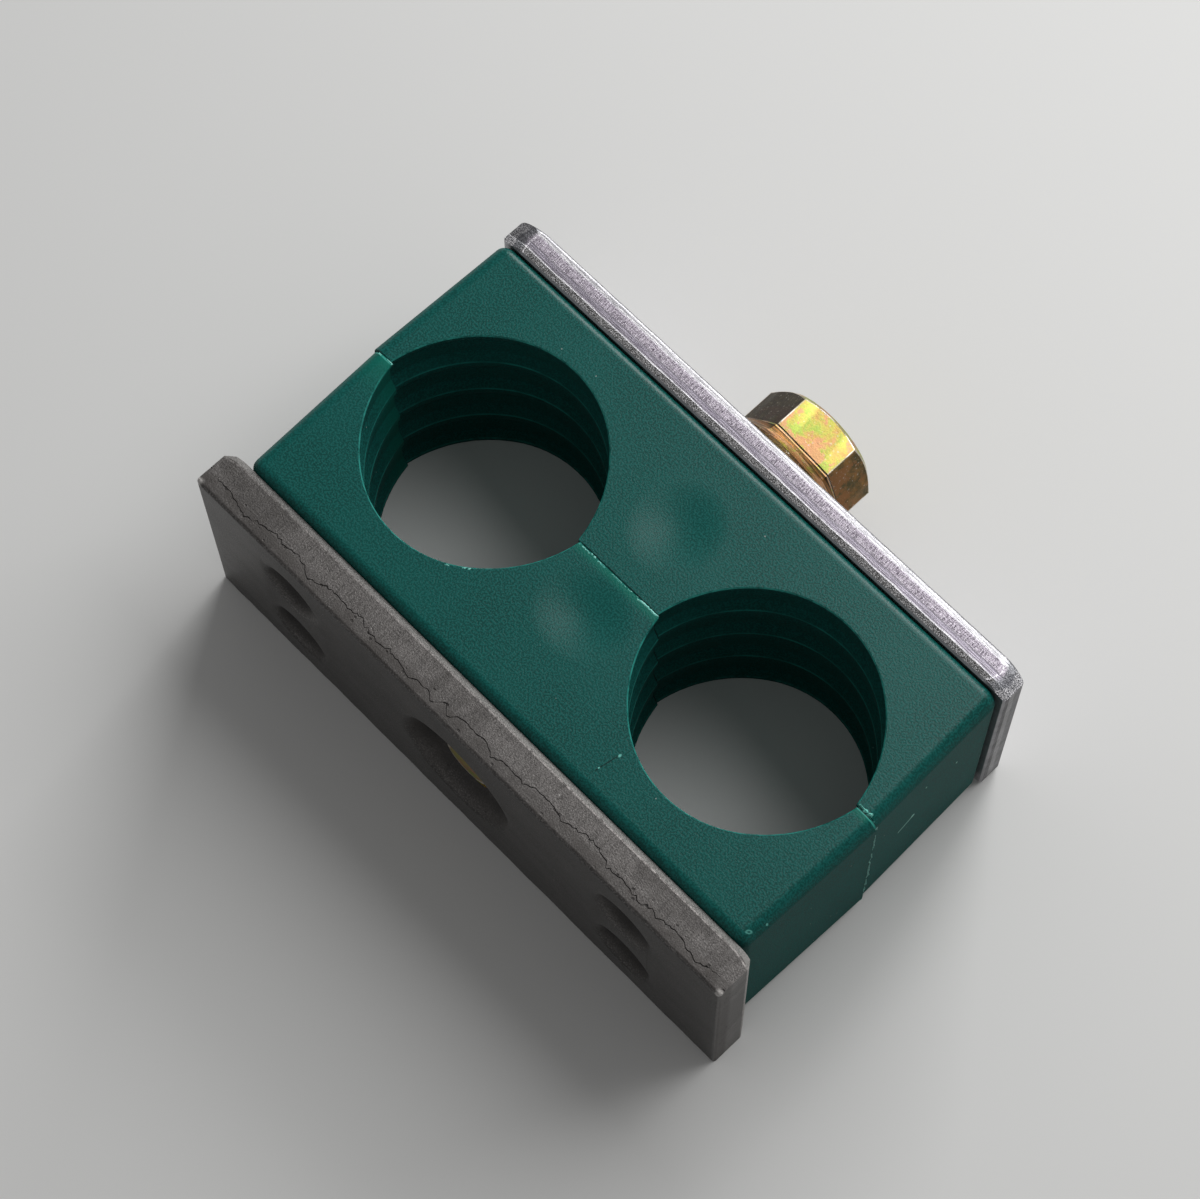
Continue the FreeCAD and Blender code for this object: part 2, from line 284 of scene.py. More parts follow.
def bore_painted_highlights(finish, colour, place, spot, up):
    """Painted highlights: pale rims around the bores, and a pale line along the crest of each rib."""
    x, y, z = spot
    from_bore = (((x.size() - bore_pitch / 2) ** 2.0) + y ** 2.0) ** 0.5
    mouth = (z - width / 2).size().step(width / 2 - 0.9, width / 2 - 0.6)
    # The pale rims and the crest lines are painted highlights: lighter green where light catches the
    # rounded rims and the rib crests.
    rim = up.size().band(0.25, 0.93, 0.03) * (1 - from_bore.step(*rim_reach)) * mouth
    painted_rim_highlight = rim * finish.noise(place, 1.7, 4.0, 0.7).step(0.36, 0.62, 0.12, 1.0)
    crests = []
    for number in range(rib_count):
        from_crest = z - width / 2 - (number - (rib_count - 1) / 2) * rib_pitch
        crests.append(from_crest.band(0.28, 0.62, 0.08))
    in_bore = (1 - up.size().step(0.3, 0.5)) * (1 - from_bore.step(*groove_reach))
    painted_crest_glint = together(crests) * in_bore * finish.noise(place, 5.0, 3.0, 0.6).step(0.35, 0.6, 0.35, 1.0)
    rim_highlight_green, glint_highlight_green = (0.022, 0.235, 0.200), (0.020, 0.290, 0.250)
    return finish.over(colour, (painted_rim_highlight, rim_highlight_green), (painted_crest_glint, glint_highlight_green))


def seam_lines(finish, colour, spot, ragged, along_bolt):
    """The seam: painted shadow in the gap along it, a pale edge below it that is a painted highlight, and
    painted highlights on the torn edges at the ends.
    """
    x, y, z = spot
    on_top = z.step(width - 0.3, width - 0.1)
    # A paler band and a pale line below the seam: painted highlights on the lower half's rounded edge.
    edge = y.step(-1.5, -0.2) * (1 - y.step(-0.12, -0.04)) * on_top
    painted_seam_highlight = (y + (ragged - 0.5) * 0.3).band(-0.30, -0.10, 0.05) * ragged.step(0.46, 0.60) * on_top
    at_left = (1 - x.step(-bore_end, -35.0)) * y.band(-6.0, -0.1, 0.1) * y.step(-6.0, -0.6)
    # A painted highlight along the torn edge at each end of the seam.
    painted_lip_highlight = y.band(-0.34, -0.14, 0.05) * x.size().step(38.2, 38.8) * ragged.step(0.36, 0.50, 0.35, 1.0)
    painted_lip_highlight = painted_lip_highlight * z.step(width - 1.6, width - 0.9)
    # A dark line along the seam: painted shadow in the gap between the halves, wider towards the right
    # end.
    gap = (x.band(37.9, 40.7, 0.3) * 0.11) + 0.09
    uneven = y + (ragged - 0.5) * 0.25
    painted_gap_shadow = (uneven + gap).step(-0.02, 0.02) * (1 - (uneven - 0.13).step(-0.02, 0.02))
    painted_gap_shadow = painted_gap_shadow * x.step(-bore_end, -38.0) * (1 - along_bolt.size().step(0.4, 0.8))
    return finish.over(
        colour,
        (edge * 0.75, (0.0, 0.150, 0.106)),
        (painted_seam_highlight, (0.060, 0.330, 0.290)),
        (at_left * 0.6, (0.0, 0.135, 0.098)),
        (painted_lip_highlight, (0.045, 0.340, 0.280)),
        (painted_gap_shadow * 0.95, (0.0, 0.004, 0.004)))


def top_bruises(finish, colour, spot, ragged, mottle):
    """On the top face: a fine crease with pale nicks, and a bruise on the lower half's corner."""
    x, y, z = spot
    on_top = z.step(width - 0.3, width - 0.1)
    near_top = z.step(width - 1.6, width - 1.4)
    crease = (x - 15.25 - (y + 16.5) * 0.21 + (ragged - 0.5) * 0.5).size()
    crease = (1 - crease.step(0.04, 0.11)) * y.band(-18.2, -15.0, 0.15) * on_top
    colour = finish.mix(crease * 0.9, colour, (0.0, 0.018, 0.016))
    for nick_x, nick_y, nick_size in ((15.62, -15.0, 0.21), (15.0, -17.7, 0.11), (41.0, -16.9, 0.13)):
        away = ((x - nick_x) ** 2.0 + ((y - nick_y) * 0.7) ** 2.0) ** 0.5 + (ragged - 0.5) * 0.12
        nick = (1 - away.step(nick_size * 0.5, nick_size)) * near_top * mottle.step(0.35, 0.50, 0.4, 1.0)
        colour = finish.mix(nick, colour, (0.14, 0.46, 0.40))

    # The bruise is a broken pale ring, drawn out across the corner.
    from_corner_x, from_corner_y = x - 40.3, y + 19.1
    drawn_out = (from_corner_x * 0.63 + from_corner_y * 0.77) * 0.55
    across = from_corner_x * 0.77 - from_corner_y * 0.63
    ring = (drawn_out ** 2.0 + across ** 2.0) ** 0.5 + (ragged - 0.5) * 0.10
    bruise = ring.band(0.10, 0.22, 0.06) * near_top * mottle.step(0.35, 0.50, 0.3, 0.9)
    return finish.mix(bruise, colour, (0.10, 0.36, 0.31))


def end_marks(finish, colour, spot, ragged, mottle, out):
    """On the right end: a fine scratch that ends in a nick, and two smaller nicks above."""
    x, y, z = spot
    on_end = out.step(0.8, 0.9) * x.step(38.0, 39.0)
    along = (y - 5.1) / 2.3
    scratch = along.band(0.0, 1.0, 0.04) * (z - 15.0 - along * 0.9).band(-0.17, 0.17, 0.06)
    marks = [scratch * ragged.step(0.36, 0.46, 0.3, 0.9)]
    for nick_y, nick_z, nick_size in ((7.55, 16.1, 0.36), (9.1, 23.1, 0.17), (14.6, 20.4, 0.14)):
        away = ((y - nick_y) ** 2.0 + ((z - nick_z) * 0.75) ** 2.0) ** 0.5 + (mottle - 0.5) * 0.3
        marks.append(1 - away.step(nick_size * 0.6, nick_size))
    return finish.mix((together(marks) * on_end).step(0.0, 1.0), colour, (0.42, 0.80, 0.70))


def sink_marks(spot, up):
    """Shallow dips where the plastic is thick, between the bores: one on each half's side faces."""
    x, y, _ = spot
    on_face = up.size().step(0.8, 0.98)
    dips = []
    for sink_x, sink_y, reach_x, reach_y in ((0.2, 9.2, 6.0, 6.6), (0.4, -6.2, 6.6, 5.8)):
        away = (((x - sink_x) / reach_x) ** 2.0 + ((y - sink_y) / reach_y) ** 2.0) ** 0.5
        dips.append(away.step(0.0, 1.0, 1.0, 0.0) * on_face)
    return together(dips)


def torn_plastic():
    """The pale, stretched plastic of moulding flash and torn burrs."""
    finish = Finish("torn_plastic")
    grain = finish.noise(finish.place(), 0.3, 3.0, 0.6)
    colour = finish.mix(grain.step(0.3, 0.7), (0.045, 0.320, 0.270), (0.230, 0.660, 0.570))
    normal = finish.bump(grain, 0.03)
    return finish.use(Base_Color=colour, Roughness=grain.step(0.2, 0.8, 0.35, 0.5), Normal=normal)


def bare_steel():
    """Dull mill steel. A plate's sheared edge is smooth near the rolled face and torn beyond the crack."""
    finish = Finish("bare_steel")
    place = finish.place((0, weld_outer, 0))
    spot = finish.axes(place)
    y = spot[1]
    inward = finish.facing()[1]
    sheared = inward.size().step(0.5, 0.8, 1.0, 0.0)
    torn = (1 - y.step(1.5, 2.3)) * sheared
    fine = finish.noise(place, 0.20, 2.0, 0.7)
    mottle = finish.noise(place, 1.6, 4.0, 0.65)
    patches = finish.noise(place, 9.0, 3.0, 0.6, 0.6)
    drawn = finish.noise(finish.place((0, 0, 0), (5.0, 1.0, 5.0)), 1.8, 4.0, 0.65)
    rolled = finish.noise(finish.place((0, 0, 0), (1.0, 1.0, 2.5)), 7.0, 5.0, 0.65)
    mill_scale = finish.over(
        finish.mix(rolled.step(0.30, 0.70), (0.078, 0.075, 0.073), (0.108, 0.104, 0.102)),
        (mottle.step(0.55, 0.75, 0.0, 0.5), (0.060, 0.056, 0.053)),
        (fine.step(0.58, 0.72, 0.0, 0.35), (0.19, 0.185, 0.18)))
    chips = finish.specks(finish.place((0, weld_outer, 0), (1.0, 1.4, 1.0)), 0.80, 0.26, 0.20)
    chips = chips * y.band(0.55, 2.45, 0.2) * sheared * fine.step(0.35, 0.55, 0.4, 1.0)
    specks = finish.specks(place, 2.4, 0.11, 0.25)
    colour = finish.over(
        finish.mix(mottle.step(0.3, 0.7), (0.112, 0.105, 0.101), (0.150, 0.140, 0.135)),
        (1 - sheared, mill_scale),
        (fine.step(0.50, 0.66, 0.0, 0.8), (0.235, 0.225, 0.217)),
        (fine.step(0.34, 0.46, 0.8, 0.0), (0.060, 0.057, 0.055)),
        (drawn.step(0.48, 0.66, 0.0, 0.40) * sheared * (1 - torn), (0.20, 0.19, 0.185)),
        (drawn.step(0.34, 0.46, 0.4, 0.0) * sheared, (0.068, 0.064, 0.061)),
        (patches.step(0.50, 0.62, 0.0, 0.45) * sheared, (0.062, 0.058, 0.055)),
        (torn * mottle.step(0.40, 0.60, 0.15, 0.65), (0.075, 0.069, 0.065)),
        (chips * 0.8, (0.030, 0.027, 0.026)))
    colour = painted_arris_highlights(finish, colour, spot, inward, sheared, fine, drawn)
    colour = finish.over(
        colour,
        # Painted shade in the dish behind the boss and in the dimples behind the nubs.
        (painted_hollow_shade(spot) * 0.75, (0.032, 0.030, 0.029)),
        (specks * 0.8, (0.45, 0.44, 0.42)))
    normal = finish.bump(mottle, 0.05, 0.8)
    normal = finish.bump(fine - chips * 2.0 + drawn * sheared * 0.6, 0.036, normal=normal)
    rough = fine.step(0.2, 0.8, 0.40, 0.56) + torn * 0.08
    return finish.use(Base_Color=colour, Metallic=0.75, Roughness=rough, Normal=normal)


def painted_arris_highlights(finish, colour, spot, inward, sheared, fine, drawn):
    """Painted highlights: lighter steel on the weld plate's inner bevel and along its arrises, and pale
    steel in the nicks of its corners.
    """
    x, y, z = spot
    past_middle = y.step(3.9, 4.2)
    # The lighter bevel and the pale arris lines are painted highlights.
    bevel = inward.band(0.40, 0.93, 0.04) * past_middle * fine.step(0.3, 0.6, 0.5, 1.0)
    bevel = bevel * x.step(-43.0, 20.0, 0.35, 1.0)
    arris = inward.band(0.18, 0.62, 0.06) * past_middle
    arris = arris + (y + x.size().step(40.5, 43.5, 0.0, 0.5)).band(4.86, 5.06, 0.05) * sheared
    arris = arris.step(0.0, 1.0) * drawn.step(0.35, 0.60, 0.15, 0.9) * x.step(-43.0, 30.0, 0.40, 1.0)
    nick = x.size().step(42.3, 42.9) * (1 - y.step(0.4, 0.9)) * z.step(width - 0.7, width - 0.3)
    rim = y.band(0.02, 0.20, 0.05) * sheared * fine.step(0.42, 0.58)
    return finish.over(
        colour,
        (bevel, (0.31, 0.30, 0.288)),
        (arris * 0.85, (0.50, 0.47, 0.455)),
        (nick * fine.step(0.35, 0.55, 0.5, 0.9), (0.55, 0.53, 0.51)),
        (rim * 0.6, (0.30, 0.285, 0.275)))


def painted_hollow_shade(spot):
    """High where painted shade darkens the steel, in the dish behind the boss and in the dimples behind
    the nubs.
    """
    x, y, z = spot
    from_bolt = (x ** 2.0 + (z - bolt_z) ** 2.0) ** 0.5
    from_nub = ((x.size() - nub_spacing[0] / 2) ** 2.0
                + ((z - bolt_z).size() - nub_spacing[1] / 2) ** 2.0) ** 0.5
    hollow_shade = (1 - from_bolt.step(*dish_reach)) * y.step(0.2, 2.2)
    hollow_shade = hollow_shade + (1 - from_nub.step(*dimple_reach)) * y.step(0.1, 1.2)
    return hollow_shade * (1 - y.step(weld_inner - weld_outer - 1.0, weld_inner - weld_outer))


def crack_steel():
    """The floor of the fracture line around a sheared edge, painted dark: painted shade in the crack."""
    finish = Finish("fracture_line")
    grain = finish.noise(finish.place(), 0.3, 2.0)
    colour = finish.mix(grain, (0.022, 0.020, 0.019), (0.050, 0.046, 0.044))
    return finish.use(Base_Color=colour, Roughness=0.8)


def bright_zinc():
    """Zinc over a sheared edge: a torn band, a polished one, a cut one and a roll, drawn lengthwise."""
    finish = Finish("bright_zinc")
    place = finish.place((0, cover_inner, 0))
    x, y, _ = finish.axes(place)
    look_x, look_y, look_z = finish.facing()
    sheared = look_y.size().step(0.35, 0.7, 1.0, 0.0)
    waver = finish.noise(finish.place((0, 0, 0), (1, 0, 0)), 7.0, 3.0, 0.6) - 0.5
    level = y + waver * 0.45
    fine = finish.noise(place, 0.13, 3.0, 0.7)
    streak = finish.noise(finish.place((0, cover_inner, 0), (1, 16, 16)), 3.0, 4.0, 0.62)
    across = finish.noise(finish.place((0, cover_inner, 0), (9, 1.6, 9)), 1.5, 3.0, 0.7)
    patches = finish.noise(place, 2.2, 3.0, 0.6)
    rolled = finish.noise(finish.place((0, cover_inner, 0), (1, 1, 14)), 6.0, 4.0, 0.6)
    cut = level.band(1.95, 3.15, 0.12) * sheared
    polished = level.band(1.15, 1.95, 0.06) * sheared
    torn = (1 - level.step(0.98, 1.10)) * sheared

    lilac = finish.over(
        finish.mix(across.step(0.40, 0.58), (0.10, 0.083, 0.108), (0.37, 0.33, 0.385)),
        (fine.step(0.50, 0.62, 0.0, 0.75), (0.64, 0.61, 0.65)))
    drawn = finish.mix(streak.step(0.35, 0.65), (0.20, 0.18, 0.22), (0.38, 0.35, 0.405))
    speckled = finish.mix(fine.step(0.46, 0.62), (0.045, 0.044, 0.044), (0.36, 0.355, 0.36))
    colour = finish.over(
        finish.mix(patches.step(0.30, 0.75), (0.36, 0.355, 0.375), (0.46, 0.45, 0.475)),
        (rolled.step(0.45, 0.75, 0.0, 0.5), (0.30, 0.295, 0.315)),
        (fine.step(0.5, 0.75, 0.0, 0.4), (0.60, 0.59, 0.61)),
        (cut, lilac),
        (polished, drawn),
        (torn, speckled))

    # Broken lines that part the bands: height over the inner face, half width, shade, and how broken. The
    # pale lines at 0.10, 1.15 and 3.36 are painted highlights along the arrises and the edge of the
    # polished band.
    for line, half_line, shade, gap in (
            (1.15, 0.045, 0.60, 0.46), (1.32, 0.030, 0.06, 0.42), (1.56, 0.030, 0.09, 0.46),
            (1.84, 0.024, 0.12, 0.50), (3.36, 0.090, 0.85, 0.47), (0.10, 0.050, 0.60, 0.46)):
        mark = level.band(line - half_line, line + half_line, 0.02) * sheared
        mark = mark * streak.step(gap, gap + 0.08)
        colour = finish.mix(mark * 0.9, colour, (shade, shade * 0.98, shade))
    end_zinc = finish.mix(patches.step(0.35, 0.65), (0.050, 0.049, 0.053), (0.125, 0.122, 0.130))
    colour = finish.mix(look_x.size().step(0.5, 0.9), colour, end_zinc)

    # Crushed corners, their dark facets painted shade, with bruised tips; the roll beside the outer face,
    # darkened with specks of painted shade; and a pale line along the fold, a painted highlight
    corner = x.size() + (y - 2.0).size() * 0.35 + (patches - 0.5) * 1.6
    on_top = look_z.size().step(0.5, 0.8)
    painted_crushed_shade = corner.step(cover_high.x - 2.5, cover_high.x - 1.9) * on_top
    bruised = corner.step(cover_high.x - 1.0, cover_high.x - 0.7) * on_top
    roll = level.step(3.2, 3.4) * look_y.band(0.12, 0.93, 0.05)
    line = corner.band(cover_high.x - 2.75, cover_high.x - 2.55, 0.06) * on_top
    crushed_shade_zinc = finish.mix(fine.step(0.42, 0.60), (0.045, 0.050, 0.056), (0.28, 0.28, 0.295))
    bruised_zinc = finish.mix(fine.step(0.44, 0.58), (0.09, 0.09, 0.10), (0.58, 0.57, 0.58))
    colour = finish.over(
        colour,
        (painted_crushed_shade * 0.9, crushed_shade_zinc),
        (bruised * 0.85, bruised_zinc),
        (roll * fine.step(0.42, 0.56, 0.75, 0.0), (0.10, 0.10, 0.105)),
        (line * streak.step(0.42, 0.55) * 0.85, (0.78, 0.76, 0.79)))
    normal = finish.bump(streak * 0.6 + cut * across * 0.6 + torn * fine * 1.4, 0.045)
    normal = finish.bump(fine, 0.016, normal=normal)
    rough = 0.28 + cut * 0.10 + torn * 0.18 + fine * 0.08 + rolled * (1 - sheared) * 0.12
    return finish.use(Base_Color=colour, Metallic=0.9, Roughness=rough, Normal=normal)


def yellow_zinc(name, low, middle, high, rose, worn=0.0):
    """Yellow passivated zinc that drifts from one tint to another, with rose patches and pale pits."""
    finish = Finish(name)
    place = finish.place((0, cover_outer, 0))
    level = finish.axes(place)[1]
    fine = finish.noise(place, 0.25, 3.0, 0.65)
    broken = (fine - 0.5) * 0.22
    drift = finish.noise(place, 2.0, 5.0, 0.66, 0.3) + broken
    bloom = finish.noise(finish.place((3, 0, 9)), 2.2, 4.0, 0.6, 0.3) + broken
    low_down = level.step(4.4, 8.2, 0.10, -0.05) * level.step(-2.0, 0.0)
    turned = finish.noise(finish.place((0, 0, 0), (0.45, 5.0, 0.45)), 1.6, 3.0, 0.6)
    turned = turned.step(0.40, 0.56, 0.75, 0.0) * level.band(0.9, 4.0, 0.1)
    pits = finish.specks(place, 0.50, 0.16, 0.42)
    colour = finish.over(
        finish.ramp(drift + low_down * 0.4, (0.36, low), (0.49, middle), (0.60, high)),
        ((bloom + low_down).step(0.50, 0.58, 0.0, 0.85), rose),
        (fine.step(0.58, 0.76, 0.0, 0.45), (0.62, 0.54, 0.38)),
        (fine.step(0.30, 0.42, 0.45, 0.0), (0.16, 0.12, 0.035)),
        (pits * 0.45 * fine.step(0.4, 0.6), (0.55, 0.52, 0.46)),
        (turned, (0.045, 0.032, 0.012)))
    if worn:
        colour = finish.mix(worn * bloom.step(0.42, 0.54, 0.08, 1.0), colour, (0.66, 0.60, 0.52))
    normal = finish.bump(drift, 0.03)
    normal = finish.bump(fine, 0.014, normal=normal)
    rough = fine.step(0.2, 0.8, 0.34, 0.50)
    return finish.use(Base_Color=colour, Metallic=1.0, Roughness=rough, Normal=normal)


def pale_floor():
    """Pale to the camera and in reflections, and a darker bench to the light that it throws back."""
    finish = Finish("pale_floor", roughness=0.9)
    rays = ("Is Camera Ray", "Is Glossy Ray", "Is Transmission Ray")
    seen = together([finish.node("ShaderNodeLightPath", output=ray) for ray in rays])
    return finish.use(Base_Color=finish.mix(seen.step(0.0, 1.0), floor_bounce, floor_colour))


# Pieces


def order_of(part):
    """A number that differs from part to part of a shape, by where the part lies."""
    corners = [part] if isinstance(part, bmesh.types.BMVert) else part.verts
    return sum(corner.co.dot(Vector((1.0, 1.618034, 2.302585))) for corner in corners) / len(corners)


def finished(shape, name, body, materials, replaces=None, sharp=32.0):
    """Turns a shape in millimetres into a finished piece in metres that rides on a body."""
    bmesh.ops.transform(shape, matrix=Matrix.Scale(MM, 4), verts=shape.verts)
    for face in shape.faces:
        face.smooth = True
    for edge in shape.edges:
        if len(edge.link_faces) == 2 and edge.calc_face_angle(0.0) > math.radians(sharp):
            edge.smooth = False
    # Operators may leave the parts in another order in each run, so they are put in one order.
    for parts in (shape.verts, shape.edges, shape.faces):
        parts.sort(key=order_of)
    mesh = bpy.data.meshes.new(name)
    shape.to_mesh(mesh)
    shape.free()
    for material in materials:
        mesh.materials.append(material)
    piece = bpy.data.objects.new(name, mesh)
    bpy.context.scene.collection.objects.link(piece)
    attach(piece, body)
    if replaces:
        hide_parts(replaces)
    return piece


def node_copy(name):
    """A CAD node's mesh as a shape in millimetres, with its loose triangles joined."""
    shape = bmesh.new()
    shape.from_mesh(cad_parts[name].data)
    bmesh.ops.transform(shape, matrix=Matrix.Scale(1 / MM, 4), verts=shape.verts)
    bmesh.ops.remove_doubles(shape, verts=shape.verts, dist=0.0005)
    return shape


def grow(shape, ring, station, material=0):
    """Extrudes a closed ring of edges, and station says where each new vertex goes by its angle."""
    made = bmesh.ops.extrude_edge_only(shape, edges=ring)["geom"]
    corners = {part for part in made if isinstance(part, bmesh.types.BMVert)}
    for corner in corners:
        angle = math.atan2(corner.co.x, corner.co.z - bolt_z)
        radius, level = station(angle)
        corner.co = (radius * math.sin(angle), level, bolt_z + radius * math.cos(angle))
    for part in made:
        if isinstance(part, bmesh.types.BMFace):
            part.material_index = material
    return [part for part in made if isinstance(part, bmesh.types.BMEdge)
            and part.verts[0] in corners and part.verts[1] in corners]


def around(radius, level):
    return lambda angle: (radius, level)


# The bolt's radii and lengths in millimetres. Its head is turned by head_turn degrees.
thread_pitch = 1.5
thread_length = 26.0
thread_crest = 4.98
thread_root = 4.08
thread_flank = math.tan(math.radians(30))
tip_radius = 2.9
tip_chamfer = 0.95
shank_radius = 4.97
boss_crest = 4.20
boss_wall = 5.05
flange_radius = 10.8
across_flats = 15.0
head_turn = 9.8
trim_radius = 7.05
facet_reach = 7.3           # the facets lie past this radius
skirt_reach = 8.5           # the skirt's corners are cut off at this one
corner_reach = 8.6          # and only the worn corners lie past this one
trim_slope = math.tan(math.radians(30))
worn_corner = 0.7           # degrees from a corner of the hexagon to the edge of its worn strip
ring_parts = 72
turn_parts = 36


def from_flat(angle):
    """Degrees from the middle of the nearest flat of the hexagon, for an angle in degrees."""
    return (angle - head_turn + 30) % 60 - 30


def from_corner(angle):
    """Degrees from the nearest corner of the hexagon, for an angle in degrees."""
    return (angle - head_turn) % 60 - 30


def hexagon_radius(angle):
    """Distance from the bolt's middle to the flat at this angle, in radians."""
    return across_flats / 2 / math.cos(math.radians(from_flat(math.degrees(angle))))


def thread_ridge(shape, crest, foot, crest_width, start, turns):
    """A right-handed ridge around the bolt's middle, from foot radius to crest radius."""
    foot_width = crest_width + 2 * abs(crest - foot) * thread_flank
    section = [(foot, -foot_width / 2), (crest, -crest_width / 2), (crest, crest_width / 2),
               (foot, foot_width / 2)]
    corners = [shape.verts.new((0, start + level, bolt_z + radius)) for radius, level in section]
    face = shape.faces.new(corners)
    before = set(shape.verts) - set(corners)
    bmesh.ops.spin(shape, geom=[face, *face.edges, *corners], cent=(0, 0, bolt_z), axis=(0, 1, 0),
                   dvec=(0, thread_pitch / turn_parts, 0), angle=2 * math.pi * turns,
                   steps=round(turn_parts * turns), use_duplicate=False)
    return [corner for corner in shape.verts if corner not in before]


def radius_of(corner):
    return math.hypot(corner.co.x, corner.co.z - bolt_z)


def set_radius(corner, radius):
    scale = radius / radius_of(corner)
    corner.co.x *= scale
    corner.co.z = bolt_z + (corner.co.z - bolt_z) * scale


def make_bolt(materials):
    """The flange bolt, grown ring by ring from its tip to its head, with the thread wound on it."""
    shape = bmesh.new()
    quarter = Matrix.Rotation(math.radians(-90), 4, "X")
    turn = Matrix.Rotation(math.radians(head_turn + 30), 4, "Y")
    place = Matrix.Translation((0, bolt_tip, bolt_z)) @ turn @ quarter
    bmesh.ops.create_circle(shape, cap_ends=True, segments=ring_parts, radius=tip_radius, matrix=place)
    # The vertices beside each corner of the hexagon close up on it, for a narrow worn corner.
    for corner in shape.verts:
        angle = math.degrees(math.atan2(corner.co.x, corner.co.z - bolt_z))
        past = from_corner(angle)
        if 4 < abs(past) < 6:
            nearer = math.radians(angle - past + math.copysign(worn_corner, past))
            corner.co.x = tip_radius * math.sin(nearer)
            corner.co.z = bolt_z + tip_radius * math.cos(nearer)
    ring = list(shape.edges)

    # Rings from the tip up to the flange's bead: radius, level and finish
    shank_start = bolt_tip + thread_length
    gold, pale, bronze, olive, tan = range(5)
    # The two pale rings on the tip's chamfer are a painted highlight.
    for radius, level, tint in (
            (3.35, bolt_tip + 0.03, pale), (3.75, bolt_tip + 0.28, pale),
            (thread_root, bolt_tip + 0.62, gold), (thread_root, shank_start - 0.6, bronze),
            (shank_radius, shank_start + 0.3, tan), (shank_radius, cover_outer - 0.45, tan),
            (5.12, cover_outer - 0.12, tan), (5.45, cover_outer, tan),
            (10.2, cover_outer, tan), (10.62, cover_outer + 0.12, tan),
            (flange_radius, cover_outer + 0.42, tan), (flange_radius, cover_outer + 0.80, tan),
            (10.79, cover_outer + 1.10, bronze),
            (10.74, cover_outer + 1.60, olive), (10.60, cover_outer + 1.85, olive),
            (10.42, cover_outer + 1.93, bronze), (10.28, cover_outer + 1.84, gold),
            (10.12, cover_outer + 1.90, gold), (9.98, cover_outer + 2.12, olive),
            (9.80, cover_outer + 2.20, gold)):
        ring = grow(shape, ring, around(radius, level), tint)

    # The flange's top blends from round to hexagonal, and a stepped skirt carries the facets.
    facet_foot = cover_outer + 4.4

    def blend(share, rest, level):
        return lambda angle: (share * hexagon_radius(angle) + rest, level)

    def skirt(outward, level):
        return lambda angle: (min(hexagon_radius(angle), skirt_reach) + outward, level)

    def facet(inset, drop):
        def station(angle):
            radius = hexagon_radius(angle)
            level = head_top - max(0.0, radius - trim_radius) * trim_slope - drop
            return radius - inset, level
        return station

    for station, tint in (
            (blend(0.3, 6.75, cover_outer + 2.70), gold), (blend(0.3, 6.35, cover_outer + 3.25), gold),
            (blend(0.4, 5.40, cover_outer + 3.72), bronze), (skirt(0.36, facet_foot - 0.42), olive),
            (skirt(0.34, facet_foot - 0.30), gold), (skirt(0.24, facet_foot - 0.20), pale),
            (skirt(0.02, facet_foot - 0.16), olive), (skirt(-0.12, facet_foot - 0.04), olive),
            (blend(1.0, 0.0, facet_foot + 0.08), pale), (facet(0.0, 0.20), gold),
            (facet(0.10, 0.04), pale), (facet(0.20, 0.0), pale)):
        ring = grow(shape, ring, station, tint)
    for radius, level in ((trim_radius, head_top - 0.02), (trim_radius - 0.35, head_top),
                          (5.0, head_top), (4.5, head_top - 0.25), (3.7, head_top - 0.6),
                          (1.2, head_top - 0.62)):
        ring = grow(shape, ring, around(radius, level))
    bmesh.ops.edgeloop_fill(shape, edges=ring)

    # Worn corners: the narrow faces each side of a corner, and the corner itself drawn in a little.
    shape.normal_update()
    for face in shape.faces:
        middle = face.calc_center_median()
        angle = math.degrees(math.atan2(middle.x, middle.z - bolt_z))
        reach = math.hypot(middle.x, middle.z - bolt_z)
        if middle.y > facet_foot - 0.05 and reach > facet_reach and abs(face.normal.y) < 0.3:
            if abs(from_corner(angle)) < worn_corner - 0.1:
                face.material_index = pale
            # Tints by facet, from the upward one round: gold, bronze, tan, gold, tan, olive. The gold
            # upward facet and the darker side facets, the olive one darkest, are painted light and shade.
            elif face.material_index == gold:
                side = int((angle - head_turn + 30) // 60) % 6
                face.material_index = (gold, bronze, tan, gold, tan, olive)[side]
    for corner in shape.verts:
        if radius_of(corner) > corner_reach and corner.co.y > facet_foot:
            set_radius(corner, radius_of(corner) - 0.10)

    ridge = thread_ridge(shape, thread_crest, thread_root - 0.05, 0.16, bolt_tip + 0.1,
                         thread_length / thread_pitch)
    for corner in ridge:
        open_radius = thread_root - 0.1 + max(0.0, corner.co.y - bolt_tip - 0.1) / tip_chamfer
        if radius_of(corner) > open_radius:
            set_radius(corner, open_radius)
        if corner.co.y < bolt_tip + 0.05:
            corner.co.y = bolt_tip + 0.05
    bmesh.ops.recalc_face_normals(shape, faces=shape.faces)
    return finished(shape, "flange_bolt_dressed", "bolt", materials, "flange_bolt", 24.0)


def make_boss_thread(material):
    """The thread cut in the weld plate's boss, half a pitch from the bolt's own ridge."""
    shape = bmesh.new()
    dish_floor = weld_outer + 3.0
    start = dish_floor + 0.6
    turns = (boss_top - dish_floor - 1.3) / thread_pitch
    ridge = thread_ridge(shape, boss_crest, boss_wall + 0.04, 0.33, start, turns)
    lead = (start - bolt_tip - 0.1) / thread_pitch + 0.5
    turn = Matrix.Rotation(2 * math.pi * lead, 4, "Y")
    bmesh.ops.rotate(shape, cent=(0, 0, bolt_z), matrix=turn, verts=ridge)
    bmesh.ops.recalc_face_normals(shape, faces=shape.faces)
    return finished(shape, "boss_thread", "base", [material])


